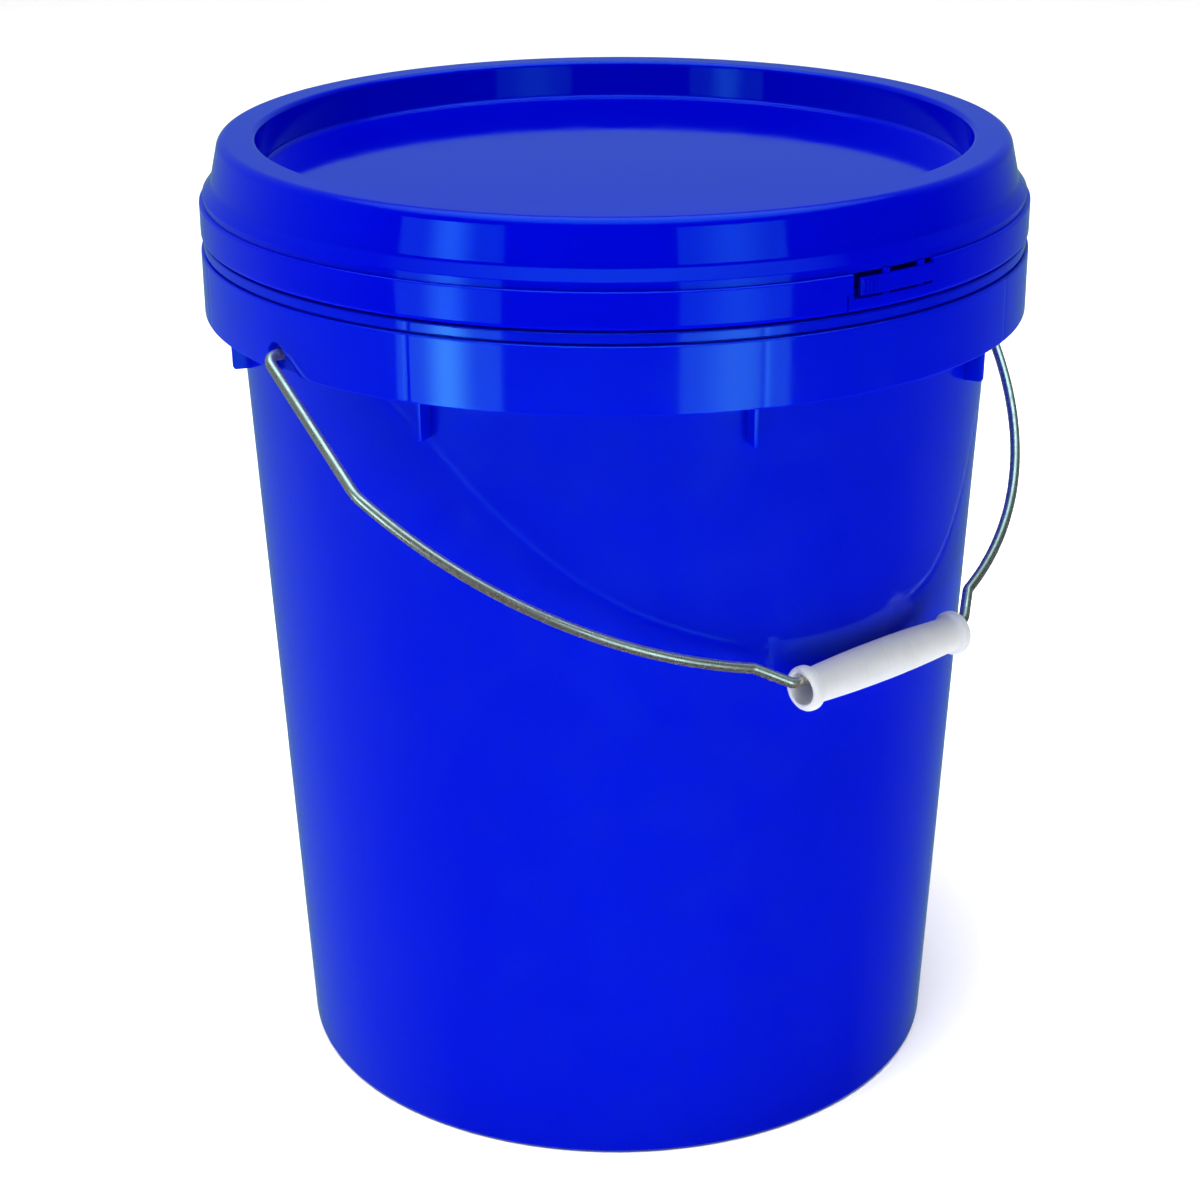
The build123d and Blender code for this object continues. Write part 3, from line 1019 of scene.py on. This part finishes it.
def softbox(name, angle, fill, shine, hot, hot_width):
    """A standing softbox. fill is its brightness as light, shine its brightness in gloss.
    The shine stands a little nearer, so that the fill doesn't hide it."""
    aim = Vector((0, 0, SOFTBOX_HEIGHT))
    parts = (("fill", fill, FILL_DISTANCE), ("shine", shine, SHINE_DISTANCE))
    for part, radiance, distance in parts:
        light = bpy.data.lights.new(f"{name}_{part}", "AREA")
        light.shape = "RECTANGLE"
        light.size = SOFTBOX_WIDTH
        light.size_y = SOFTBOX_TALL
        light.energy = radiance * pi * SOFTBOX_WIDTH * SOFTBOX_TALL
        place = around(angle, distance, SOFTBOX_HEIGHT)
        lamp = lamp_object(f"{name}_{part}", light, place, aim)
        if part == "fill":
            lamp.visible_glossy = False
        else:
            lamp.visible_diffuse = False
            soft_glow(light, hot, hot_width)


def overhead(name, place, size, radiance):
    """A round light above the object that doesn't show in its gloss."""
    light = bpy.data.lights.new(name, "AREA")
    light.shape = "DISK"
    light.size = size
    light.energy = radiance * pi * pi * size * size / 4
    lamp = lamp_object(name, light, place, Vector((0, 0, 0)))
    lamp.visible_glossy = False
    return lamp


def floor_light(floor):
    """Light that falls on the floor only, so that it stays white round the object."""
    lamp = overhead("floor_light", Vector((0, 0, 3.2)), 6.4, 2.05)
    only_floor = bpy.data.collections.new("floor_only")
    only_floor.objects.link(floor)
    lamp.light_linking.receiver_collection = only_floor


def make_world():
    """Soft white surroundings, brighter behind the object. In its gloss they are blue-tinted
    and darker in front, with a bright ceiling."""
    world = bpy.data.worlds.new("studio")
    bpy.context.scene.world = world
    world.use_nodes = True
    tree = world.node_tree
    background = tree.nodes["Background"]
    coords = tree.nodes.new("ShaderNodeTexCoord")
    direction = coords.outputs["Generated"]
    behind = tree.nodes.new("ShaderNodeVectorMath")
    behind.operation = "DOT_PRODUCT"
    away = radians(CAMERA_ANGLE + 20)
    behind.inputs[1].default_value = (-sin(away), cos(away), 0.0)
    tree.links.new(direction, behind.inputs[0])
    fill = spread(tree, behind.outputs["Value"], 0.14, 0.30, -0.5, 0.5)
    shine = spread(tree, behind.outputs["Value"], 0.012, 0.29, -0.2, 0.75)
    ceiling = spread(tree, axis_of(tree, direction, "Z"), 0.0, 3.0, 0.70, 0.95)
    rays = tree.nodes.new("ShaderNodeLightPath")
    in_gloss = rays.outputs["Is Glossy Ray"]
    choice = tree.nodes.new("ShaderNodeMix")
    tree.links.new(in_gloss, choice.inputs[0])
    tree.links.new(fill, choice.inputs[2])
    tree.links.new(maths(tree, "ADD", ceiling, shine), choice.inputs[3])
    tree.links.new(choice.outputs[0], background.inputs["Strength"])
    tint = mix_colour(tree, in_gloss, WHITE, GLOSS_TINT)
    tree.links.new(tint, background.inputs["Color"])


def make_camera():
    data = bpy.data.cameras.new("camera")
    data.lens = CAMERA_LENS
    data.sensor_width = 36.0
    data.shift_x = CAMERA_SHIFT_X
    data.clip_start = 0.05
    data.clip_end = 60.0
    camera = bpy.data.objects.new("camera", data)
    bpy.context.scene.collection.objects.link(camera)
    turn = Matrix.Rotation(radians(CAMERA_ANGLE), 4, "Z")
    pitch = Matrix.Rotation(radians(90 - CAMERA_PITCH), 4, "X")
    roll = Matrix.Rotation(radians(CAMERA_ROLL), 4, "Z")
    place = Matrix.Translation(around(0, CAMERA_DISTANCE, CAMERA_HEIGHT))
    camera.matrix_world = place @ turn @ pitch @ roll
    bpy.context.scene.camera = camera


floor_light(make_floor())
make_world()
softbox("softbox_left", -41.5, fill=0.8, shine=1.35, hot=4.6, hot_width=0.28)
softbox("softbox_right", 29.5, fill=0.3, shine=1.35, hot=2.2, hot_width=0.40)
overhead("top_light", around(-30, 0.5, 2.2), 1.5, 7.0)
make_camera()
bpy.context.scene.view_settings.view_transform = "Standard"
bpy.context.scene.view_settings.look = "None"
